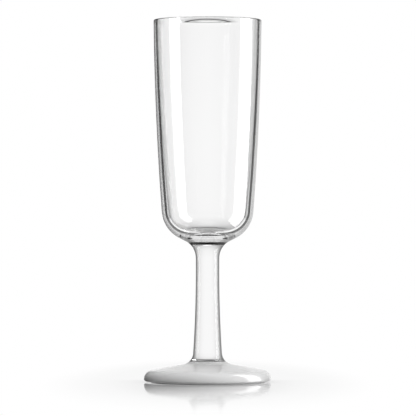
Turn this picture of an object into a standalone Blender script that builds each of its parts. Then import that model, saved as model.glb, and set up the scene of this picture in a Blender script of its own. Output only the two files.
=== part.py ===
"""Champagne flute with a thick clear bowl, a waisted clear stem and an opaque white foot.

Metres, +Z up. The origin is the centre of the ring that the flute stands on, and +Z is
the axis that every piece is turned about. Each piece is a half section at +X, given as
(radius, height) points, which a Screw modifier turns round +Z.
"""

import math

import bpy

MM = 0.001

# Whole flute
OVERALL_HEIGHT = 185.0 * MM
TURN_STEPS = 48
JOINT_GAP = 0.3 * MM

# Bowl: a long arc for each face of the wall, and a round corner at its foot
RIM_RADIUS = 27.6 * MM
RIM_WALL = 1.4 * MM
OUTER_TAPER = math.radians(0.6)
OUTER_ARC_RADIUS = 1500.0 * MM
INNER_TAPER = math.radians(1.45)
INNER_ARC_RADIUS = 1240.0 * MM
SHOULDER_RADIUS = 16.5 * MM
UNDERSIDE_SLOPE = math.radians(26.5)
INNER_FLOOR_HEIGHT = 76.0 * MM
INNER_CORNER_RADIUS = 12.0 * MM

# Neck: the plane where the stem's head is bonded to the bowl
NECK_HEIGHT = 71.2 * MM
NECK_RADIUS = 10.0 * MM
NECK_FILLET = 10.0 * MM

# Stem
WAIST_HEIGHT = 57.0 * MM
WAIST_RADIUS = 5.97 * MM
STEM_ARC_RADIUS = 650.0 * MM
STEM_BASE_FILLET = 6.0 * MM
TENON_RADIUS = 5.6 * MM
FLANGE_RADIUS = 9.4 * MM
FLANGE_BOTTOM = 3.0 * MM
FLANGE_THICKNESS = 1.6 * MM

# Foot
FOOT_RADIUS = 32.5 * MM
FOOT_CLEARANCE = 0.4 * MM
FOOT_WIDEST_HEIGHT = 1.5 * MM
FOOT_EDGE_RADIUS = 4.8 * MM
FOOT_SLOPE = math.radians(10.0)
COLLAR_HEIGHT = 10.6 * MM
COVER_WALL = 2.2 * MM
COVER_RIM_WIDTH = 3.4 * MM
HUB_RADIUS = 10.5 * MM
BASE_THICKNESS = 2.0 * MM

# Ring that the flute stands on
GRIP_INNER_RADIUS = 24.0 * MM
GRIP_OUTER_RADIUS = 27.0 * MM
GRIP_DEPTH = 0.9 * MM
GRIP_EDGE_RADIUS = 0.3 * MM

SHARP_ANGLE = math.radians(30.0)


def arc(centre, radius, start, end, segments):
    """Points from angle start to angle end, in radians from +radius towards +height."""
    points = []
    for index in range(segments + 1):
        angle = start + (end - start) * index / segments
        points.append((centre[0] + radius * math.cos(angle), centre[1] + radius * math.sin(angle)))
    return points


def angle_from(centre, point):
    return math.atan2(point[1] - centre[1], point[0] - centre[0])


def arc_to(centre, start, end, segments):
    """The shorter arc round centre between two points, with start's distance as its radius."""
    first = angle_from(centre, start)
    turn = math.remainder(angle_from(centre, end) - first, 2.0 * math.pi)
    return arc(centre, math.dist(centre, start), first, first + turn, segments)


def towards(start, end, distance):
    """The point at that distance from start, on the line to end."""
    share = distance / math.dist(start, end)
    return (start[0] + (end[0] - start[0]) * share, start[1] + (end[1] - start[1]) * share)


def circles_meet(centre_a, radius_a, centre_b, radius_b, side):
    """Where two circles cross: side +1 is left of the line from a to b, and -1 right of it."""
    apart = math.dist(centre_a, centre_b)
    along = (radius_a**2 - radius_b**2 + apart**2) / (2.0 * apart)
    across = math.sqrt(radius_a**2 - along**2) * side
    unit = ((centre_b[0] - centre_a[0]) / apart, (centre_b[1] - centre_a[1]) / apart)
    return (
        centre_a[0] + unit[0] * along - unit[1] * across,
        centre_a[1] + unit[1] * along + unit[0] * across,
    )


def line_meets_circle(point, slope, centre, radius, side):
    """Where a sloping line crosses a circle: side +1 is the crossing further along the slope."""
    unit = (math.cos(slope), math.sin(slope))
    offset = (centre[0] - point[0], centre[1] - point[1])
    nearest = offset[0] * unit[0] + offset[1] * unit[1]
    apart = offset[1] * unit[0] - offset[0] * unit[1]
    along = nearest + side * math.sqrt(radius**2 - apart**2)
    return (point[0] + unit[0] * along, point[1] + unit[1] * along)


def raised(point, slope, distance):
    """The point moved square to a line of that slope, to its upper side."""
    return (point[0] - math.sin(slope) * distance, point[1] + math.cos(slope) * distance)


def wall_arc_centre(rim_point, taper, radius):
    """Centre of a wall's arc that leaves the rim at that taper and leans in more lower down."""
    return (rim_point[0] - radius * math.cos(taper), rim_point[1] + radius * math.sin(taper))


def bowl_profile():
    """From the outer side of the rim down to the neck, and up the inside from the floor."""
    lip = RIM_WALL / 2.0
    lip_height = OVERALL_HEIGHT - lip
    outer_rim = (RIM_RADIUS, lip_height)
    inner_rim = (RIM_RADIUS - RIM_WALL, lip_height)
    outer_centre = wall_arc_centre(outer_rim, OUTER_TAPER, OUTER_ARC_RADIUS)
    inner_centre = wall_arc_centre(inner_rim, INNER_TAPER, INNER_ARC_RADIUS)

    neck_edge = (NECK_RADIUS, NECK_HEIGHT)
    shoulder_centre = line_meets_circle(
        raised(neck_edge, UNDERSIDE_SLOPE, SHOULDER_RADIUS),
        UNDERSIDE_SLOPE,
        outer_centre,
        OUTER_ARC_RADIUS - SHOULDER_RADIUS,
        1,
    )
    shoulder_top = towards(outer_centre, shoulder_centre, OUTER_ARC_RADIUS)
    shoulder_end = raised(shoulder_centre, UNDERSIDE_SLOPE, -SHOULDER_RADIUS)

    corner_centre = line_meets_circle(
        (0.0, INNER_FLOOR_HEIGHT + INNER_CORNER_RADIUS),
        0.0,
        inner_centre,
        INNER_ARC_RADIUS - INNER_CORNER_RADIUS,
        1,
    )
    corner_end = (corner_centre[0], INNER_FLOOR_HEIGHT)
    corner_top = towards(inner_centre, corner_centre, INNER_ARC_RADIUS)

    lip_centre = (RIM_RADIUS - lip, lip_height)
    profile = arc(lip_centre, lip, math.pi / 2.0, 0.0, 3)
    profile += arc_to(outer_centre, outer_rim, shoulder_top, 9)[1:]
    profile += arc_to(shoulder_centre, shoulder_top, shoulder_end, 7)[1:]
    profile += [neck_edge, (0.0, NECK_HEIGHT)]
    profile += [(0.0, INNER_FLOOR_HEIGHT)]
    profile += arc_to(corner_centre, corner_end, corner_top, 8)
    profile += arc_to(inner_centre, corner_top, inner_rim, 9)[1:]
    profile += arc(lip_centre, lip, math.pi, math.pi / 2.0, 3)[1:]
    return profile


def stem_base_fillet():
    """(centre, end on the cover's cone) of the fillet that runs from the stem to the foot."""
    flank_centre = (WAIST_RADIUS + STEM_ARC_RADIUS, WAIST_HEIGHT)
    edge_centre = (FOOT_RADIUS - FOOT_EDGE_RADIUS, FOOT_WIDEST_HEIGHT)
    cone_end = raised(edge_centre, -FOOT_SLOPE, FOOT_EDGE_RADIUS)
    centre = line_meets_circle(
        raised(cone_end, -FOOT_SLOPE, STEM_BASE_FILLET),
        -FOOT_SLOPE,
        flank_centre,
        STEM_ARC_RADIUS - STEM_BASE_FILLET,
        -1,
    )
    return centre, raised(centre, -FOOT_SLOPE, -STEM_BASE_FILLET)


def on_fillet(centre, radius, height):
    """The point of a fillet at that height, on the side near the axis."""
    return (centre[0] - math.sqrt(radius**2 - (height - centre[1]) ** 2), height)


def stem_profile():
    """From the head's face down the flank, and down the tenon and its flange to the axis."""
    neck_edge = (NECK_RADIUS, NECK_HEIGHT)
    flank_centre = (WAIST_RADIUS + STEM_ARC_RADIUS, WAIST_HEIGHT)
    neck_centre = circles_meet(flank_centre, STEM_ARC_RADIUS - NECK_FILLET, neck_edge, NECK_FILLET, 1)
    neck_end = towards(flank_centre, neck_centre, STEM_ARC_RADIUS)
    top = on_fillet(neck_centre, NECK_FILLET, NECK_HEIGHT - JOINT_GAP)
    base_centre, _ = stem_base_fillet()
    base_top = towards(flank_centre, base_centre, STEM_ARC_RADIUS)
    seat = on_fillet(base_centre, STEM_BASE_FILLET, COLLAR_HEIGHT + JOINT_GAP)

    profile = [(0.0, top[1])]
    profile += arc_to(neck_centre, top, neck_end, 6)
    profile += arc_to(flank_centre, neck_end, base_top, 8)[1:]
    profile += arc_to(base_centre, base_top, seat, 4)[1:]
    profile += [
        (TENON_RADIUS, seat[1]),
        (TENON_RADIUS, FLANGE_BOTTOM + FLANGE_THICKNESS),
        (FLANGE_RADIUS, FLANGE_BOTTOM + FLANGE_THICKNESS),
        (FLANGE_RADIUS, FLANGE_BOTTOM),
        (0.0, FLANGE_BOTTOM),
    ]
    return profile


def foot_cover_profile():
    """From the collar out over the foot, round its edge, and back in under the shell."""
    base_centre, cone_start = stem_base_fillet()
    collar = on_fillet(base_centre, STEM_BASE_FILLET, COLLAR_HEIGHT)
    edge_centre = (FOOT_RADIUS - FOOT_EDGE_RADIUS, FOOT_WIDEST_HEIGHT)
    cone_end = raised(edge_centre, -FOOT_SLOPE, FOOT_EDGE_RADIUS)
    under_radius = FOOT_WIDEST_HEIGHT - FOOT_CLEARANCE
    under_centre = (FOOT_RADIUS - under_radius, FOOT_WIDEST_HEIGHT)

    rim_inside = FOOT_RADIUS - COVER_RIM_WIDTH
    hub_bottom = FLANGE_BOTTOM + FLANGE_THICKNESS + JOINT_GAP
    bore = TENON_RADIUS + JOINT_GAP
    ceiling = raised(cone_end, -FOOT_SLOPE, -COVER_WALL)
    ceiling_rise = math.tan(FOOT_SLOPE)

    profile = arc_to(base_centre, collar, cone_start, 5)
    profile += arc(edge_centre, FOOT_EDGE_RADIUS, math.pi / 2.0 - FOOT_SLOPE, 0.0, 7)
    profile += arc(under_centre, under_radius, 0.0, -math.pi / 2.0, 4)[1:]
    profile += [
        (rim_inside, FOOT_CLEARANCE),
        (rim_inside, ceiling[1] + (ceiling[0] - rim_inside) * ceiling_rise),
        (HUB_RADIUS, ceiling[1] + (ceiling[0] - HUB_RADIUS) * ceiling_rise),
        (HUB_RADIUS, hub_bottom),
        (bore, hub_bottom),
        (bore, COLLAR_HEIGHT),
        collar,
    ]
    return profile


def foot_base_profile():
    """A disc that closes the cover, with a boss under the stem's flange and a ring groove."""
    edge = FOOT_RADIUS - COVER_RIM_WIDTH - JOINT_GAP
    top = FOOT_CLEARANCE + BASE_THICKNESS
    groove_top = GRIP_DEPTH + JOINT_GAP
    return [
        (0.0, FLANGE_BOTTOM - JOINT_GAP),
        (FLANGE_RADIUS, FLANGE_BOTTOM - JOINT_GAP),
        (FLANGE_RADIUS, top),
        (edge, top),
        (edge, FOOT_CLEARANCE),
        (GRIP_OUTER_RADIUS + JOINT_GAP, FOOT_CLEARANCE),
        (GRIP_OUTER_RADIUS + JOINT_GAP, groove_top),
        (GRIP_INNER_RADIUS - JOINT_GAP, groove_top),
        (GRIP_INNER_RADIUS - JOINT_GAP, FOOT_CLEARANCE),
        (0.0, FOOT_CLEARANCE),
    ]


def grip_ring_profile():
    """A band with rounded lower edges, set in the groove of the base."""
    outer_centre = (GRIP_OUTER_RADIUS - GRIP_EDGE_RADIUS, GRIP_EDGE_RADIUS)
    inner_centre = (GRIP_INNER_RADIUS + GRIP_EDGE_RADIUS, GRIP_EDGE_RADIUS)
    profile = [(GRIP_OUTER_RADIUS, GRIP_DEPTH)]
    profile += arc(outer_centre, GRIP_EDGE_RADIUS, 0.0, -math.pi / 2.0, 2)
    profile += arc(inner_centre, GRIP_EDGE_RADIUS, -math.pi / 2.0, -math.pi, 2)
    profile += [(GRIP_INNER_RADIUS, GRIP_DEPTH), (GRIP_OUTER_RADIUS, GRIP_DEPTH)]
    return profile


def make_material(name, colour, roughness, transmission=0.0):
    material = bpy.data.materials.new(name)
    material.use_nodes = True
    shader = material.node_tree.nodes["Principled BSDF"]
    shader.inputs["Base Color"].default_value = (*colour, 1.0)
    shader.inputs["Roughness"].default_value = roughness
    shader.inputs["Metallic"].default_value = 0.0
    shader.inputs["Transmission Weight"].default_value = transmission
    material.diffuse_color = (*colour, 1.0)
    return material


def turned(name, profile, material, collection):
    """One piece: the half section as a line of edges, turned a full circle about +Z."""
    mesh = bpy.data.meshes.new(name)
    looped = math.dist(profile[0], profile[-1]) < JOINT_GAP / 1000.0
    points = profile[:-1] if looped else profile
    edges = [(index, index + 1) for index in range(len(points) - 1)]
    if looped:
        edges.append((len(points) - 1, 0))
    mesh.from_pydata([(radius, 0.0, height) for radius, height in points], edges, [])
    mesh.materials.append(material)
    piece = bpy.data.objects.new(name, mesh)
    collection.objects.link(piece)

    screw = piece.modifiers.new("turn", "SCREW")
    screw.axis = "Z"
    screw.angle = 2.0 * math.pi
    screw.steps = TURN_STEPS
    screw.render_steps = TURN_STEPS
    screw.use_merge_vertices = True
    screw.merge_threshold = 0.01 * MM
    screw.use_smooth_shade = True
    return piece


def apply_turn(piece):
    """Keeps the turned mesh, so that its long curves shade smooth and its corners stay sharp."""
    graph = bpy.context.evaluated_depsgraph_get()
    solid = bpy.data.meshes.new_from_object(piece.evaluated_get(graph))
    profile_mesh = piece.data
    piece.modifiers.clear()
    piece.data = solid
    bpy.data.meshes.remove(profile_mesh)
    solid.name = piece.name
    solid.shade_smooth()
    solid.set_sharp_from_angle(angle=SHARP_ANGLE)


def main():
    for old in list(bpy.data.objects):
        bpy.data.objects.remove(old, do_unlink=True)
    flute = bpy.data.collections.new("champagne_flute")
    bpy.context.scene.collection.children.link(flute)

    clear = make_material("clear_plastic", (0.97, 0.98, 0.98), 0.03, transmission=1.0)
    white = make_material("white_plastic", (0.82, 0.82, 0.82), 0.12)
    base_white = make_material("base_plastic", (0.74, 0.74, 0.74), 0.45)
    grip = make_material("grip_rubber", (0.62, 0.62, 0.63), 0.75)

    pieces = [
        turned("bowl", bowl_profile(), clear, flute),
        turned("stem", stem_profile(), clear, flute),
        turned("foot_cover", foot_cover_profile(), white, flute),
        turned("foot_base", foot_base_profile(), base_white, flute),
        turned("grip_ring", grip_ring_profile(), grip, flute),
    ]
    bpy.context.view_layer.update()
    for piece in pieces:
        apply_turn(piece)


main()
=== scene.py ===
"""Looks of the champagne flute: fine turned meshes, procedural materials and a white studio.

Every length is in metres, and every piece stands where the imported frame's solids stand.
A piece is a half section at +X, given as (radius, height) points and turned about +Z.
"""

import math

import bmesh
import bpy
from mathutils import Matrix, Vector


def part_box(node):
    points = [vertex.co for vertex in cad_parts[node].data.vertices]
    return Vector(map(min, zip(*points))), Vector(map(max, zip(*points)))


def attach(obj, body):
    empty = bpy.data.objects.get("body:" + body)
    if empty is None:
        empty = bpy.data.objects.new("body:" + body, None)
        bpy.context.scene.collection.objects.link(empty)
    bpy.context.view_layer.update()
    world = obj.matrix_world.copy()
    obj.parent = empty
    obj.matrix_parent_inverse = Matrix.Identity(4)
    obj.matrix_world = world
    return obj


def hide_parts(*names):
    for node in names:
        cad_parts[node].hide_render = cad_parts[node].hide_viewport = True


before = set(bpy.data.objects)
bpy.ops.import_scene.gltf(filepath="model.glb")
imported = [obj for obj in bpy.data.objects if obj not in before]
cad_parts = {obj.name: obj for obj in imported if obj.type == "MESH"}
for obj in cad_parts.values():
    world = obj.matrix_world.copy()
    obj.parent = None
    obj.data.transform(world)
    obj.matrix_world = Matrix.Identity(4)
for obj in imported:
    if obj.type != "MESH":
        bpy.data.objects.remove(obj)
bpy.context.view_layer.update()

MM = 0.001
RIGHT_ANGLE = math.pi / 2.0
WHITE = (1.0, 1.0, 1.0)

# Read from the frame
OVERALL_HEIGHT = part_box("bowl")[1].z
RIM_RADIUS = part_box("bowl")[1].x
NECK_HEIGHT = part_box("bowl")[0].z
FOOT_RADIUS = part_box("foot_cover")[1].x
FOOT_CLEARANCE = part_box("foot_cover")[0].z
COLLAR_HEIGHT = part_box("foot_cover")[1].z
BASE_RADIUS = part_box("foot_base")[1].x
BASE_BOSS_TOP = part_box("foot_base")[1].z
GRIP_OUTER_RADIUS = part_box("grip_ring")[1].x
GRIP_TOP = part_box("grip_ring")[1].z
FLANGE_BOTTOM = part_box("stem")[0].z

# Bowl
RIM_WALL = 1.4 * MM
OUTER_TAPER = math.radians(0.6)
OUTER_ARC_RADIUS = 1500.0 * MM
INNER_TAPER = math.radians(1.45)
INNER_ARC_RADIUS = 1240.0 * MM
SHOULDER_RADIUS = 16.5 * MM
UNDERSIDE_SLOPE = math.radians(26.5)
INNER_FLOOR_HEIGHT = 76.0 * MM
INNER_CORNER_RADIUS = 12.0 * MM

# Neck and stem
NECK_RADIUS = 10.0 * MM
NECK_FILLET = 10.0 * MM
WAIST_HEIGHT = 57.0 * MM
WAIST_RADIUS = 5.97 * MM
STEM_ARC_RADIUS = 650.0 * MM
STEM_BASE_FILLET = 6.0 * MM
TENON_RADIUS = 5.6 * MM
FLANGE_RADIUS = 9.4 * MM
FLANGE_THICKNESS = 1.6 * MM
SEAM = 0.02 * MM

# Dark lines of painted shade: a band outside the neck joint, and the stem's lowest edge at the foot
SHADE_BAND_BOTTOM = 70.05 * MM
SHADE_BAND_TOP = 71.42 * MM
SHADE_BAND_INNER_RADIUS = 7.5 * MM
JOINT_LINE = 0.2 * MM

# Foot
FOOT_WIDEST_HEIGHT = 1.5 * MM
FOOT_EDGE_RADIUS = 4.8 * MM
FOOT_SLOPE = math.radians(10.0)
COVER_WALL = 2.2 * MM
COVER_RIM_WIDTH = 3.4 * MM
HUB_RADIUS = 10.5 * MM
BASE_TOP = 2.4 * MM
GRIP_WIDTH = 3.0 * MM
GRIP_EDGE_RADIUS = 0.3 * MM
GROOVE_CLEARANCE = 0.08 * MM

# Rounded inner corners, which take at most one part in EDGE_PARTS of each edge beside them
EASED_EDGE = 0.25 * MM
EDGE_PARTS = 2.5

# Straight parts in each kind of curve
LIP_STEPS = 8
WALL_STEPS = 48
ROUND_STEPS = 32
SHADE_BAND_STEPS = 6
NECK_STEPS = 28
FLANK_STEPS = 40
STEM_BASE_STEPS = 16
JOINT_LINE_STEPS = 2
COLLAR_STEPS = 24
UNDER_EDGE_STEPS = 16
GRIP_EDGE_STEPS = 8
EASE_STEPS = 4
TURN_STEPS = 192

# Meshing
SAME_POINT = 0.002 * MM
MERGE_DISTANCE = 0.001 * MM
SHARP_ANGLE = math.radians(30.0)


def arc(centre, radius, start, end, segments):
    points = []
    for index in range(segments + 1):
        angle = start + (end - start) * index / segments
        points.append((centre[0] + radius * math.cos(angle), centre[1] + radius * math.sin(angle)))
    return points


def angle_from(centre, point):
    return math.atan2(point[1] - centre[1], point[0] - centre[0])


def arc_to(centre, start, end, segments):
    """The shorter arc about the centre from start to end, which lie on one circle."""
    first = angle_from(centre, start)
    turn = math.remainder(angle_from(centre, end) - first, math.tau)
    return arc(centre, math.dist(centre, start), first, first + turn, segments)


def towards(start, end, distance):
    share = distance / math.dist(start, end)
    return (start[0] + (end[0] - start[0]) * share, start[1] + (end[1] - start[1]) * share)


def circles_meet(centre_a, radius_a, centre_b, radius_b):
    """Where two circles cross, to the left of the way from centre_a to centre_b."""
    apart = math.dist(centre_a, centre_b)
    along = (radius_a**2 - radius_b**2 + apart**2) / (2.0 * apart)
    across = math.sqrt(radius_a**2 - along**2)
    unit = ((centre_b[0] - centre_a[0]) / apart, (centre_b[1] - centre_a[1]) / apart)
    return (
        centre_a[0] + unit[0] * along - unit[1] * across,
        centre_a[1] + unit[1] * along + unit[0] * across,
    )


def line_meets_circle(point, slope, centre, radius, side):
    """Where the line through the point crosses the circle, on its far (+1) or near (-1) side."""
    unit = (math.cos(slope), math.sin(slope))
    offset = (centre[0] - point[0], centre[1] - point[1])
    nearest = offset[0] * unit[0] + offset[1] * unit[1]
    apart = offset[1] * unit[0] - offset[0] * unit[1]
    along = nearest + side * math.sqrt(radius**2 - apart**2)
    return (point[0] + unit[0] * along, point[1] + unit[1] * along)


def raised(point, slope, distance):
    """The point moved that far square to a line of that slope, upwards when positive."""
    return (point[0] - math.sin(slope) * distance, point[1] + math.cos(slope) * distance)


def wall_arc_centre(rim_point, taper, radius):
    return (rim_point[0] - radius * math.cos(taper), rim_point[1] + radius * math.sin(taper))


def on_fillet(centre, radius, height):
    """The point of a fillet at that height, on the side near the axis."""
    return (centre[0] - math.sqrt(radius**2 - (height - centre[1]) ** 2), height)


def eased(points):
    """The same line with each of its inner corners rounded."""
    result = [points[0]]
    for before, corner, after in zip(points, points[1:], points[2:]):
        reach = min(
            EASED_EDGE, math.dist(before, corner) / EDGE_PARTS, math.dist(corner, after) / EDGE_PARTS
        )
        start = towards(corner, before, reach)
        end = towards(corner, after, reach)
        for index in range(EASE_STEPS + 1):
            t = index / EASE_STEPS
            weights = ((1.0 - t) ** 2, 2.0 * t * (1.0 - t), t**2)
            parts = list(zip(weights, (start, corner, end)))
            result.append(tuple(sum(weight * point[axis] for weight, point in parts) for axis in (0, 1)))
    result.append(points[-1])
    return result


def bowl_profile():
    """From the lip down the outside, in under the neck, and up the inside to the lip."""
    lip = RIM_WALL / 2.0
    lip_height = OVERALL_HEIGHT - lip
    lip_centre = (RIM_RADIUS - lip, lip_height)
    outer_rim = (RIM_RADIUS, lip_height)
    inner_rim = (RIM_RADIUS - RIM_WALL, lip_height)
    outer_centre = wall_arc_centre(outer_rim, OUTER_TAPER, OUTER_ARC_RADIUS)
    inner_centre = wall_arc_centre(inner_rim, INNER_TAPER, INNER_ARC_RADIUS)
    neck_edge = (NECK_RADIUS, NECK_HEIGHT)
    shade_band_edge = (NECK_RADIUS + (SHADE_BAND_TOP - NECK_HEIGHT) / math.tan(UNDERSIDE_SLOPE), SHADE_BAND_TOP)
    shoulder_centre = line_meets_circle(
        raised(neck_edge, UNDERSIDE_SLOPE, SHOULDER_RADIUS),
        UNDERSIDE_SLOPE, outer_centre, OUTER_ARC_RADIUS - SHOULDER_RADIUS, 1,
    )
    shoulder_top = towards(outer_centre, shoulder_centre, OUTER_ARC_RADIUS)
    shoulder_end = raised(shoulder_centre, UNDERSIDE_SLOPE, -SHOULDER_RADIUS)
    corner_centre = line_meets_circle(
        (0.0, INNER_FLOOR_HEIGHT + INNER_CORNER_RADIUS), 0.0,
        inner_centre, INNER_ARC_RADIUS - INNER_CORNER_RADIUS, 1,
    )
    corner_end = (corner_centre[0], INNER_FLOOR_HEIGHT)
    corner_top = towards(inner_centre, corner_centre, INNER_ARC_RADIUS)
    profile = arc(lip_centre, lip, RIGHT_ANGLE, 0.0, LIP_STEPS)
    profile += arc_to(outer_centre, outer_rim, shoulder_top, WALL_STEPS)[1:]
    profile += arc_to(shoulder_centre, shoulder_top, shoulder_end, ROUND_STEPS)[1:]
    profile += [shade_band_edge, neck_edge, (0.0, NECK_HEIGHT), (0.0, INNER_FLOOR_HEIGHT)]
    profile += arc_to(corner_centre, corner_end, corner_top, ROUND_STEPS)
    profile += arc_to(inner_centre, corner_top, inner_rim, WALL_STEPS)[1:]
    profile += arc(lip_centre, lip, math.pi, RIGHT_ANGLE, LIP_STEPS)[1:]
    return profile


def foot_edge():
    """(centre of the foot's round edge, end of the cover's cone on it)."""
    centre = (FOOT_RADIUS - FOOT_EDGE_RADIUS, FOOT_WIDEST_HEIGHT)
    return centre, raised(centre, -FOOT_SLOPE, FOOT_EDGE_RADIUS)


def stem_base_fillet():
    """(centre, end on the cover's cone) of the fillet that runs from the stem to the foot."""
    flank_centre = (WAIST_RADIUS + STEM_ARC_RADIUS, WAIST_HEIGHT)
    _, cone_end = foot_edge()
    centre = line_meets_circle(
        raised(cone_end, -FOOT_SLOPE, STEM_BASE_FILLET), -FOOT_SLOPE,
        flank_centre, STEM_ARC_RADIUS - STEM_BASE_FILLET, -1,
    )
    return centre, raised(centre, -FOOT_SLOPE, -STEM_BASE_FILLET)


def stem_profile():
    """From the head down the outside to the seat on the foot, and round the tenon and flange."""
    neck_edge = (NECK_RADIUS, NECK_HEIGHT)
    flank_centre = (WAIST_RADIUS + STEM_ARC_RADIUS, WAIST_HEIGHT)
    neck_centre = circles_meet(flank_centre, STEM_ARC_RADIUS - NECK_FILLET, neck_edge, NECK_FILLET)
    neck_end = towards(flank_centre, neck_centre, STEM_ARC_RADIUS)
    base_centre, _ = stem_base_fillet()
    base_top = towards(flank_centre, base_centre, STEM_ARC_RADIUS)
    top = on_fillet(neck_centre, NECK_FILLET, NECK_HEIGHT - SEAM)
    shade_band_edge = on_fillet(neck_centre, NECK_FILLET, SHADE_BAND_BOTTOM)
    line_top = on_fillet(base_centre, STEM_BASE_FILLET, COLLAR_HEIGHT + JOINT_LINE)
    seat = on_fillet(base_centre, STEM_BASE_FILLET, COLLAR_HEIGHT + SEAM)
    flange_top = FLANGE_BOTTOM + FLANGE_THICKNESS
    profile = [(0.0, top[1])]
    profile += arc_to(neck_centre, top, shade_band_edge, SHADE_BAND_STEPS)
    profile += arc_to(neck_centre, shade_band_edge, neck_end, NECK_STEPS)[1:]
    profile += arc_to(flank_centre, neck_end, base_top, FLANK_STEPS)[1:]
    profile += arc_to(base_centre, base_top, line_top, STEM_BASE_STEPS)[1:]
    profile += arc_to(base_centre, line_top, seat, JOINT_LINE_STEPS)[1:]
    profile += eased([
        (TENON_RADIUS, seat[1]),
        (TENON_RADIUS, flange_top),
        (FLANGE_RADIUS, flange_top),
        (FLANGE_RADIUS, FLANGE_BOTTOM),
        (0.0, FLANGE_BOTTOM),
    ])
    return profile


def foot_cover_profile():
    """From the collar out over the foot, round its edge, and back in under the shell."""
    base_centre, cone_start = stem_base_fillet()
    collar = on_fillet(base_centre, STEM_BASE_FILLET, COLLAR_HEIGHT)
    edge_centre, cone_end = foot_edge()
    under_radius = FOOT_WIDEST_HEIGHT - FOOT_CLEARANCE
    under_centre = (FOOT_RADIUS - under_radius, FOOT_WIDEST_HEIGHT)
    rim_inside = FOOT_RADIUS - COVER_RIM_WIDTH
    hub_bottom = FLANGE_BOTTOM + FLANGE_THICKNESS + SEAM
    bore = TENON_RADIUS + SEAM
    ceiling = raised(cone_end, -FOOT_SLOPE, -COVER_WALL)
    ceiling_rise = math.tan(FOOT_SLOPE)
    profile = arc_to(base_centre, collar, cone_start, COLLAR_STEPS)
    profile += arc(edge_centre, FOOT_EDGE_RADIUS, RIGHT_ANGLE - FOOT_SLOPE, 0.0, ROUND_STEPS)
    profile += arc(under_centre, under_radius, 0.0, -RIGHT_ANGLE, UNDER_EDGE_STEPS)[1:]
    profile += eased([
        (rim_inside + EASED_EDGE, FOOT_CLEARANCE),
        (rim_inside, FOOT_CLEARANCE),
        (rim_inside, ceiling[1] + (ceiling[0] - rim_inside) * ceiling_rise),
        (HUB_RADIUS, ceiling[1] + (ceiling[0] - HUB_RADIUS) * ceiling_rise),
        (HUB_RADIUS, hub_bottom),
        (bore, hub_bottom),
        (bore, COLLAR_HEIGHT),
    ])
    profile += [collar]
    return profile


def foot_base_profile():
    """A disc that closes the cover, with a boss under the stem's flange and a ring groove."""
    groove_top = GRIP_TOP + GROOVE_CLEARANCE
    groove_outside = GRIP_OUTER_RADIUS + GROOVE_CLEARANCE
    groove_inside = GRIP_OUTER_RADIUS - GRIP_WIDTH - GROOVE_CLEARANCE
    return eased([
        (0.0, BASE_BOSS_TOP),
        (FLANGE_RADIUS, BASE_BOSS_TOP),
        (FLANGE_RADIUS, BASE_TOP),
        (BASE_RADIUS, BASE_TOP),
        (BASE_RADIUS, FOOT_CLEARANCE),
        (groove_outside, FOOT_CLEARANCE),
        (groove_outside, groove_top),
        (groove_inside, groove_top),
        (groove_inside, FOOT_CLEARANCE),
        (0.0, FOOT_CLEARANCE),
    ])


def grip_ring_profile():
    """A band with rounded lower edges, set in the groove of the base."""
    inner_radius = GRIP_OUTER_RADIUS - GRIP_WIDTH
    outer_centre = (GRIP_OUTER_RADIUS - GRIP_EDGE_RADIUS, GRIP_EDGE_RADIUS)
    inner_centre = (inner_radius + GRIP_EDGE_RADIUS, GRIP_EDGE_RADIUS)
    profile = [(GRIP_OUTER_RADIUS, GRIP_TOP)]
    profile += arc(outer_centre, GRIP_EDGE_RADIUS, 0.0, -RIGHT_ANGLE, GRIP_EDGE_STEPS)
    profile += arc(inner_centre, GRIP_EDGE_RADIUS, -RIGHT_ANGLE, -math.pi, GRIP_EDGE_STEPS)
    profile += [(inner_radius, GRIP_TOP), (GRIP_OUTER_RADIUS, GRIP_TOP)]
    return profile


def turned(name, profile, material):
    """One piece: the half section as a line of edges, turned a full circle about +Z."""
    outline = bpy.data.meshes.new(name)
    looped = math.dist(profile[0], profile[-1]) < SAME_POINT
    points = profile[:-1] if looped else profile
    edges = [(index, index + 1) for index in range(len(points) - 1)]
    if looped:
        edges.append((len(points) - 1, 0))
    outline.from_pydata([(radius, 0.0, height) for radius, height in points], edges, [])
    outline.materials.append(material)
    piece = bpy.data.objects.new(name, outline)
    bpy.context.scene.collection.objects.link(piece)
    screw = piece.modifiers.new("turn", "SCREW")
    screw.axis = "Z"
    screw.angle = math.tau
    screw.steps = TURN_STEPS
    screw.render_steps = TURN_STEPS
    screw.use_merge_vertices = True
    screw.merge_threshold = MERGE_DISTANCE
    screw.use_smooth_shade = True
    graph = bpy.context.evaluated_depsgraph_get()
    solid = bpy.data.meshes.new_from_object(piece.evaluated_get(graph))
    piece.modifiers.clear()
    piece.data = solid
    bpy.data.meshes.remove(outline)
    solid.name = name
    solid.shade_smooth()
    solid.set_sharp_from_angle(angle=SHARP_ANGLE)
    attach(piece, "root")
    return piece


# Materials
WAVE_SCALE = 20.0  # a Blender wave texture of scale 1 repeats every tau / 20
CLEAR = (0.988, 0.988, 0.988)
# Painted shade: the dark colour that clear plastic is given where its surface turns away from the eye
EDGE_SHADE = (0.04, 0.04, 0.04)
BOWL_INDEX = 1.54
BOWL_SHADE_START = 0.42
BOWL_SHADE_END = 1.0
ROD_INDEX = 1.04
ROD_SHADE_START = 0.0
ROD_SHADE_END = 0.9
ROD_COAT = 0.5
# Painted shade: the near-black colour of the dark lines at the joints
JOINT_SHADE_COLOUR = (0.004, 0.004, 0.004)


def set_inputs(node, **values):
    """Give a node's inputs these values, each named as its input is, with _ for a space."""
    for name, value in values.items():
        node.inputs[name.replace("_", " ")].default_value = value


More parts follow.
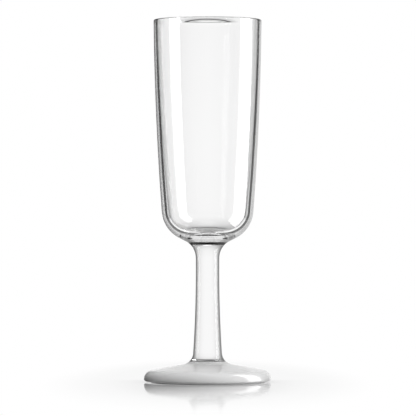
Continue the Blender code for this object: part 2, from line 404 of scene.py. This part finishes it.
class Nodes:
    """Short ways to add nodes to a tree and to link them."""

    def __init__(self, tree):
        self.tree = tree

    def node(self, kind, **values):
        node = self.tree.nodes.new(kind)
        set_inputs(node, **values)
        return node

    def link(self, output, socket):
        self.tree.links.new(output, socket)

    def position(self):
        return self.node("ShaderNodeTexCoord").outputs["Object"]

    def calculate(self, operation, *values):
        node = self.node("ShaderNodeMath")
        node.operation = operation
        for socket, value in zip(node.inputs, values):
            if isinstance(value, float):
                socket.default_value = value
            else:
                self.link(value, socket)
        return node.outputs[0]

    def inverse(self, value):
        return self.calculate("SUBTRACT", 1.0, value)

    def product(self, *values):
        result = values[0]
        for value in values[1:]:
            result = self.calculate("MULTIPLY", result, value)
        return result

    def greatest(self, *values):
        result = values[0]
        for value in values[1:]:
            result = self.calculate("MAXIMUM", result, value)
        return result

    def linear(self, value, start, end, low, high):
        """From low, at start and before, to high, at end and after."""
        node = self.node("ShaderNodeMapRange", From_Min=start, From_Max=end, To_Min=low, To_Max=high)
        self.link(value, node.inputs["Value"])
        return node.outputs["Result"]

    def smooth(self, value, start, end, low, high):
        """The same without a corner at either end."""
        result = self.linear(value, start, end, low, high)
        result.node.interpolation_type = "SMOOTHSTEP"
        return result

    def mixed(self, share, first, second):
        """The first shader, with that share of the second one in its place."""
        node = self.node("ShaderNodeMixShader")
        for value, socket in zip((share, first, second), node.inputs):
            self.link(value, socket)
        return node.outputs[0]


class Material(Nodes):
    """A Principled material whose colour, roughness and relief can follow textures.

    The colour and roughness it starts with are the means, for viewers that read no textures.
    """

    def __init__(self, name, colour, roughness):
        self.data = bpy.data.materials.new(name)
        self.data.use_nodes = True
        super().__init__(self.data.node_tree)
        self.shader = self.tree.nodes["Principled BSDF"]
        set_inputs(self.shader, Base_Color=(*colour, 1.0), Roughness=roughness)

    def noise(self, scale, detail, stretch=(1.0, 1.0, 1.0)):
        mapping = self.node("ShaderNodeMapping", Scale=stretch)
        self.link(self.position(), mapping.inputs["Vector"])
        texture = self.node("ShaderNodeTexNoise", Scale=scale, Detail=detail)
        self.link(mapping.outputs["Vector"], texture.inputs["Vector"])
        return texture.outputs["Fac"]

    def rings(self, spacing):
        """Fine turning marks about the axis, one for each spacing."""
        scale = math.tau / (WAVE_SCALE * spacing)
        texture = self.node("ShaderNodeTexWave", Scale=scale, Distortion=0.6, Detail=2.0)
        texture.wave_type = "RINGS"
        texture.rings_direction = "Z"
        self.link(self.position(), texture.inputs["Vector"])
        return texture.outputs["Fac"]

    def colours(self, value, low, high):
        node = self.node("ShaderNodeMix")
        node.data_type = "RGBA"
        factor, start, end = (socket for socket in node.inputs if socket.enabled)
        start.default_value = (*low, 1.0)
        end.default_value = (*high, 1.0)
        self.link(value, factor)
        result = next(socket for socket in node.outputs if socket.enabled)
        self.link(result, self.shader.inputs["Base Color"])

    def roughness(self, value, low, high):
        self.link(self.linear(value, 0.0, 1.0, low, high), self.shader.inputs["Roughness"])

    def bump(self, *layers):
        """Relief from (value, depth) layers, one over the other."""
        normal = None
        for value, depth in layers:
            node = self.node("ShaderNodeBump", Strength=1.0, Distance=depth)
            self.link(value, node.inputs["Height"])
            if normal:
                self.link(normal, node.inputs["Normal"])
            normal = node.outputs["Normal"]
        self.link(normal, self.shader.inputs["Normal"])


def clear_plastic(name, index, shade_start, shade_end):
    """Polished clear plastic, with the faint waves that moulding leaves in thick walls.

    Its colour darkens where the surface turns away from the eye, from shade_start to shade_end of the
    way: painted shade for the dark edges of thick clear plastic.
    """
    material = Material(name, CLEAR, 0.0)
    set_inputs(material.shader, IOR=index, Transmission_Weight=1.0)
    waves = material.noise(scale=55.0, detail=1.0, stretch=(1.0, 1.0, 0.35))
    material.bump((waves, 0.04 * MM))
    edge = material.node("ShaderNodeLayerWeight", Blend=0.5)
    # Painted shade: the colour darkens towards surfaces seen edge-on
    edge_shade = material.smooth(edge.outputs["Facing"], shade_start, shade_end, 0.0, 1.0)
    material.colours(edge_shade, CLEAR, EDGE_SHADE)
    return material


def painted_joint_shade(clear):
    """Painted shade at the joint lines: a dark skin outside, which is clear to light from inside the
    plastic.
    """
    data = clear.data.copy()
    data.name = "painted_joint_shade"
    joint_shade = Nodes(data.node_tree)
    dark = joint_shade.node(
        "ShaderNodeBsdfPrincipled", Base_Color=(*JOINT_SHADE_COLOUR, 1.0), Roughness=0.3, Specular_IOR_Level=0.2
    )
    side = joint_shade.node("ShaderNodeNewGeometry")
    inside = joint_shade.tree.nodes["Principled BSDF"]
    # Painted shade: dark from outside, plain clear plastic from inside
    surface = joint_shade.mixed(side.outputs["Backfacing"], dark.outputs[0], inside.outputs[0])
    joint_shade.link(surface, joint_shade.tree.nodes["Material Output"].inputs["Surface"])
    return data


def white_plastic():
    """Gloss white plastic, with faint smears and the ripple of a polished mould."""
    material = Material("white_plastic", (0.75, 0.75, 0.75), 0.06)
    set_inputs(material.shader, IOR=1.5)
    material.colours(material.noise(scale=40.0, detail=3.0), (0.735, 0.735, 0.735), (0.765, 0.765, 0.765))
    material.roughness(material.noise(scale=120.0, detail=4.0, stretch=(1.0, 1.0, 2.0)), 0.04, 0.09)
    material.bump((material.noise(scale=70.0, detail=1.0), 0.03 * MM))
    return material.data


def base_plastic():
    """Satin white plastic, with turning marks and a fine sparked texture."""
    material = Material("base_plastic", (0.7, 0.7, 0.7), 0.42)
    material.colours(material.noise(scale=60.0, detail=4.0), (0.66, 0.66, 0.66), (0.74, 0.74, 0.74))
    grain = material.noise(scale=4000.0, detail=3.0)
    material.roughness(grain, 0.36, 0.5)
    material.bump((material.rings(0.6 * MM), 0.012 * MM), (grain, 0.015 * MM))
    return material.data


def grip_rubber():
    """Soft pale grey rubber with a matte pebbled skin."""
    material = Material("grip_rubber", (0.6, 0.6, 0.61), 0.75)
    grain = material.noise(scale=2500.0, detail=4.0)
    material.colours(grain, (0.55, 0.55, 0.56), (0.66, 0.66, 0.67))
    material.roughness(grain, 0.68, 0.85)
    material.bump((grain, 0.04 * MM))
    return material.data


def darken_joints(piece, joint_shade):
    """Give the painted joint shade to the faces outside the neck joint and just above the foot joint."""
    piece.data.materials.append(joint_shade)
    for polygon in piece.data.polygons:
        centre = polygon.center
        outside = math.hypot(centre.x, centre.y) > SHADE_BAND_INNER_RADIUS
        at_neck = outside and SHADE_BAND_BOTTOM < centre.z < SHADE_BAND_TOP
        at_foot = COLLAR_HEIGHT + SEAM < centre.z < COLLAR_HEIGHT + JOINT_LINE
        if at_neck or at_foot:
            polygon.material_index = 1


def make_flute():
    clear = clear_plastic("clear_plastic", BOWL_INDEX, BOWL_SHADE_START, BOWL_SHADE_END)
    rod = clear_plastic("clear_plastic_rod", ROD_INDEX, ROD_SHADE_START, ROD_SHADE_END)
    set_inputs(rod.shader, Coat_Weight=ROD_COAT, Coat_Roughness=0.0)
    joint_shade = painted_joint_shade(clear)
    bowl = turned("bowl_glass", bowl_profile(), clear.data)
    darken_joints(bowl, joint_shade)
    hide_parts("bowl")
    stem = turned("stem_glass", stem_profile(), rod.data)
    darken_joints(stem, joint_shade)
    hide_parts("stem")
    cover = turned("foot_cover_shell", foot_cover_profile(), white_plastic())
    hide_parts("foot_cover")
    base = turned("foot_base_disc", foot_base_profile(), base_plastic())
    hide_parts("foot_base")
    ring = turned("grip_ring_band", grip_ring_profile(), grip_rubber())
    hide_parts("grip_ring")


make_flute()

# Floor: reach is the distance from the flute, as a share of the pool of shade's half axes
FLOOR_SIZE = 12.0
FLOOR_INDEX = 1.45
CONTACT_REACH = 25.0 * MM
CONTACT_SAMPLES = 16
POOL_HALF_WIDTH = 55.0 * MM
POOL_HALF_DEPTH = 210.0 * MM
POOL_SHADE = 0.6
POOL_DARKEST_REACH = 0.35
POOL_END_REACH = 1.0
POOL_BACK_START = 17.0 * MM
POOL_BACK_STOP = 25.0 * MM
MIRROR_START = -450.0 * MM
MIRROR_ROUGHNESS = 0.05
MIRROR_FULL_REACH = 0.9
MIRROR_END_REACH = 1.6


def make_floor():
    """A wide white floor that glows, with a painted pool of shade, painted contact shadow and a fading
    reflection before the flute.
    """
    mesh = bpy.data.meshes.new("floor")
    sheet = bmesh.new()
    bmesh.ops.create_grid(sheet, x_segments=1, y_segments=1, size=FLOOR_SIZE / 2.0)
    sheet.to_mesh(mesh)
    sheet.free()
    floor = bpy.data.objects.new("floor", mesh)
    bpy.context.scene.collection.objects.link(floor)
    material = bpy.data.materials.new("floor")
    material.use_nodes = True
    paint = Nodes(material.node_tree)
    place = paint.position()
    split = paint.node("ShaderNodeSeparateXYZ")
    paint.link(place, split.inputs[0])
    depth = split.outputs["Y"]
    pool_scale = (1.0 / POOL_HALF_WIDTH, 1.0 / POOL_HALF_DEPTH, 0.0)
    stretch = paint.node("ShaderNodeMapping", Scale=pool_scale)
    paint.link(place, stretch.inputs["Vector"])
    length = paint.node("ShaderNodeVectorMath")
    length.operation = "LENGTH"
    paint.link(stretch.outputs["Vector"], length.inputs[0])
    reach = length.outputs["Value"]
    # Painted pool of shade, darkest before the flute
    pool = paint.smooth(reach, POOL_DARKEST_REACH, POOL_END_REACH, POOL_SHADE, 1.0)
    behind = paint.smooth(depth, POOL_BACK_START, POOL_BACK_STOP, 0.0, 1.0)
    # Painted contact shadow: the glow dims where the flute is near
    contact = paint.node("ShaderNodeAmbientOcclusion", Distance=CONTACT_REACH)
    contact.samples = CONTACT_SAMPLES
    glow = paint.node("ShaderNodeEmission")
    level = paint.product(paint.greatest(pool, behind), contact.outputs["AO"])
    paint.link(level, glow.inputs["Strength"])
    mirror = paint.node("ShaderNodeBsdfGlossy", Color=(*WHITE, 1.0), Roughness=MIRROR_ROUGHNESS)
    share = paint.product(
        paint.smooth(depth, MIRROR_START, 0.0, 0.0, 1.0),
        paint.smooth(reach, MIRROR_FULL_REACH, MIRROR_END_REACH, 1.0, 0.0),
        paint.node("ShaderNodeFresnel", IOR=FLOOR_INDEX).outputs[0],
    )
    surface = paint.mixed(share, glow.outputs[0], mirror.outputs[0])
    paint.link(surface, paint.tree.nodes["Material Output"].inputs["Surface"])
    mesh.materials.append(material)
    floor.visible_diffuse = False
    floor.visible_glossy = False
    floor.visible_transmission = False
    floor.visible_shadow = False


make_floor()

# Studio, as light in the plastic sees it. A direction has a height, which is the sine of its
# elevation, and an azimuth from +Y towards +X, whose sine is right and whose cosine is ahead.

# Back lobe, about +Y: wide for refracted light, narrow and dark to the left for gloss
BACKDROP = 0.95
BACKDROP_FULL = math.cos(math.radians(28.0))
BACKDROP_NONE = math.cos(math.radians(76.0))
GLOSS_BACKDROP_FULL = math.cos(math.radians(14.0))
GLOSS_BACKDROP_NONE = math.cos(math.radians(42.0))
GLOSS_LEFT_NONE = -0.3
GLOSS_LEFT_FULL = -0.05
# Key lobe, from behind the camera's right, and a side lobe about -X
KEY = 1.1
KEY_AZIMUTH = math.radians(150.0)
KEY_NONE = -0.77
KEY_FULL = 0.87
SIDE = 0.72
SIDE_NONE = math.cos(math.radians(35.0))
ALL_ROUND = 0.25
# All of these fade towards the ground, and dim with height
GROUND_NONE = -0.87
GROUND_FULL = -0.07
DIM_HEIGHT = 0.5
DIM_SHARE = 0.65
# A dark ring about +Y, up to a little above the horizon, and bright low directions beyond it
RING_START = math.cos(math.radians(30.0))
RING_END = math.cos(math.radians(41.0))
RING_SOFT = 0.03
RING_TOP_START = 0.15
RING_TOP_END = 0.35
LOW = 1.0
LOW_FULL = -0.35
LOW_NONE = -0.15
# High directions, straight up, and the share of all this that lights matte surfaces
CEILING = 0.45
CEILING_NONE = 0.2
CEILING_FULL = 0.6
CAP = 0.8
CAP_NONE = 0.93
CAP_FULL = 0.97
AMBIENT = 0.08


def studio_world():
    """Plain white to the camera, and soft lobes of light with a dark ring to every other ray."""
    data = bpy.data.worlds.new("studio")
    bpy.context.scene.world = data
    data.use_nodes = True
    data.node_tree.nodes.clear()
    world = Nodes(data.node_tree)
    split = world.node("ShaderNodeSeparateXYZ")
    world.link(world.node("ShaderNodeTexCoord").outputs["Generated"], split.inputs[0])
    forward = split.outputs["Y"]
    height = split.outputs["Z"]
    level_share = world.calculate("SQRT", world.inverse(world.product(height, height)))
    right = world.calculate("DIVIDE", split.outputs["X"], level_share)
    ahead = world.calculate("DIVIDE", forward, level_share)
    path = world.node("ShaderNodeLightPath")
    refracted = path.outputs["Is Transmission Ray"]
    reflected = world.inverse(refracted)

    wide = world.smooth(ahead, BACKDROP_NONE, BACKDROP_FULL, 0.0, BACKDROP)
    narrow = world.product(
        world.smooth(ahead, GLOSS_BACKDROP_NONE, GLOSS_BACKDROP_FULL, 0.0, BACKDROP),
        world.smooth(right, GLOSS_LEFT_NONE, GLOSS_LEFT_FULL, 0.0, 1.0),
    )
    side = world.smooth(world.product(right, -1.0), SIDE_NONE, 1.0, 0.0, SIDE)
    through = world.greatest(wide, side, ALL_ROUND)
    mirrored = world.greatest(narrow, side)
    backdrop = world.calculate(
        "ADD", world.product(through, refracted), world.product(mirrored, reflected)
    )
    towards_key = world.calculate(
        "ADD",
        world.product(right, math.sin(KEY_AZIMUTH)),
        world.product(ahead, math.cos(KEY_AZIMUTH)),
    )
    key = world.smooth(towards_key, KEY_NONE, KEY_FULL, 0.0, KEY)
    around = world.product(
        world.greatest(backdrop, key),
        world.linear(height, GROUND_NONE, GROUND_FULL, 0.0, 1.0),
        world.linear(height, 0.0, DIM_HEIGHT, 1.0, DIM_SHARE),
    )

    beyond_ring = world.smooth(forward, RING_END - RING_SOFT, RING_END, 1.0, 0.0)
    within_ring = world.smooth(forward, RING_START, RING_START + RING_SOFT, 0.0, 1.0)
    above_ring = world.smooth(height, RING_TOP_START, RING_TOP_END, 0.0, 1.0)
    off_ring = world.greatest(beyond_ring, within_ring, above_ring, reflected)
    low = world.product(world.smooth(height, LOW_FULL, LOW_NONE, LOW, 0.0), beyond_ring)
    around = world.product(world.greatest(around, low), off_ring)
    around = world.greatest(around, world.smooth(height, CEILING_NONE, CEILING_FULL, 0.0, CEILING))
    level = world.calculate("ADD", around, world.smooth(height, CAP_NONE, CAP_FULL, 0.0, CAP))
    matte_share = world.smooth(path.outputs["Is Diffuse Ray"], 0.0, 1.0, 1.0, AMBIENT)

    light = world.node("ShaderNodeBackground", Color=(*WHITE, 1.0))
    world.link(world.product(level, matte_share), light.inputs["Strength"])
    seen = world.node("ShaderNodeBackground", Color=(*WHITE, 1.0))
    surface = world.mixed(path.outputs["Is Camera Ray"], light.outputs[0], seen.outputs[0])
    world.link(surface, world.node("ShaderNodeOutputWorld").inputs["Surface"])


studio_world()

# Lights: the softbox stands to the right of the bowl and points level at its axis
SOFTBOX_DISTANCE = 180.0 * MM
SOFTBOX_OFFSET = -6.0 * MM
SOFTBOX_HEIGHT = 120.0 * MM
SOFTBOX_SIZE = (100.0 * MM, 400.0 * MM)
SOFTBOX_RADIANCE = 7.0
# Name, azimuth from +Y towards +X and elevation in degrees, distance, size, radiance
FOOT_LIGHTS = (
    ("wide_light", 158.0, 35.0, 1.2, (1.0, 0.6), 4.8),
    ("back_light", -20.0, 25.0, 1.2, (1.0, 0.6), 3.0),
    ("top_light", 0.0, 90.0, 1.2, (0.7, 0.7), 5.0),
    ("low_light", 100.0, -14.0, 0.6, (0.3, 0.2), 8.0),
)


def area_light(name, position, target, size, radiance):
    data = bpy.data.lights.new(name, "AREA")
    data.shape = "RECTANGLE"
    data.size, data.size_y = size
    data.energy = radiance * math.pi * size[0] * size[1]
    light = bpy.data.objects.new(name, data)
    bpy.context.scene.collection.objects.link(light)
    light.location = position
    light.rotation_euler = (Vector(position) - Vector(target)).to_track_quat("Z", "Y").to_euler()
    light.visible_camera = False
    return light


def direction(azimuth, elevation):
    """The unit vector to that azimuth, from +Y towards +X, and that elevation, in degrees."""
    turn, rise = math.radians(azimuth), math.radians(elevation)
    return Vector((math.sin(turn) * math.cos(rise), math.cos(turn) * math.cos(rise), math.sin(rise)))


def make_lights():
    """A tall softbox for the long highlights, and four lights that only shade the white foot."""
    position = (SOFTBOX_DISTANCE, SOFTBOX_OFFSET, SOFTBOX_HEIGHT)
    target = (0.0, SOFTBOX_OFFSET, SOFTBOX_HEIGHT)
    softbox = area_light("softbox", position, target, SOFTBOX_SIZE, SOFTBOX_RADIANCE)
    softbox.visible_diffuse = False
    for name, azimuth, elevation, distance, size, radiance in FOOT_LIGHTS:
        position = direction(azimuth, elevation) * distance
        light = area_light(name, position, (0.0, 0.0, 0.0), size, radiance)
        light.visible_glossy = False
        light.visible_transmission = False


make_lights()

# Camera and light paths
EYE_HEIGHT = 77.0 * MM
EYE_DISTANCE = 1.75
EYE_OFFSET = 0.22 * MM
AIM_HEIGHT = 88.8 * MM
VIEW_WIDTH = 212.4 * MM
SENSOR = 36.0
CLIP_END = 20.0
CLEAR_BOUNCES = 32
GLOSSY_BOUNCES = 16


def make_camera():
    """A level eye in front of the flute, which looks slightly up at its middle."""
    data = bpy.data.cameras.new("camera")
    data.sensor_width = SENSOR
    data.lens = SENSOR * EYE_DISTANCE / VIEW_WIDTH
    data.clip_end = CLIP_END
    camera = bpy.data.objects.new("camera", data)
    bpy.context.scene.collection.objects.link(camera)
    camera.location = (EYE_OFFSET, -EYE_DISTANCE, EYE_HEIGHT)
    tilt = math.atan2(AIM_HEIGHT - EYE_HEIGHT, EYE_DISTANCE)
    camera.rotation_euler = (RIGHT_ANGLE + tilt, 0.0, 0.0)
    bpy.context.scene.camera = camera


make_camera()
bpy.context.scene.view_settings.view_transform = "Standard"
cycles = bpy.context.scene.cycles
cycles.max_bounces = CLEAR_BOUNCES
cycles.transmission_bounces = CLEAR_BOUNCES
cycles.glossy_bounces = GLOSSY_BOUNCES
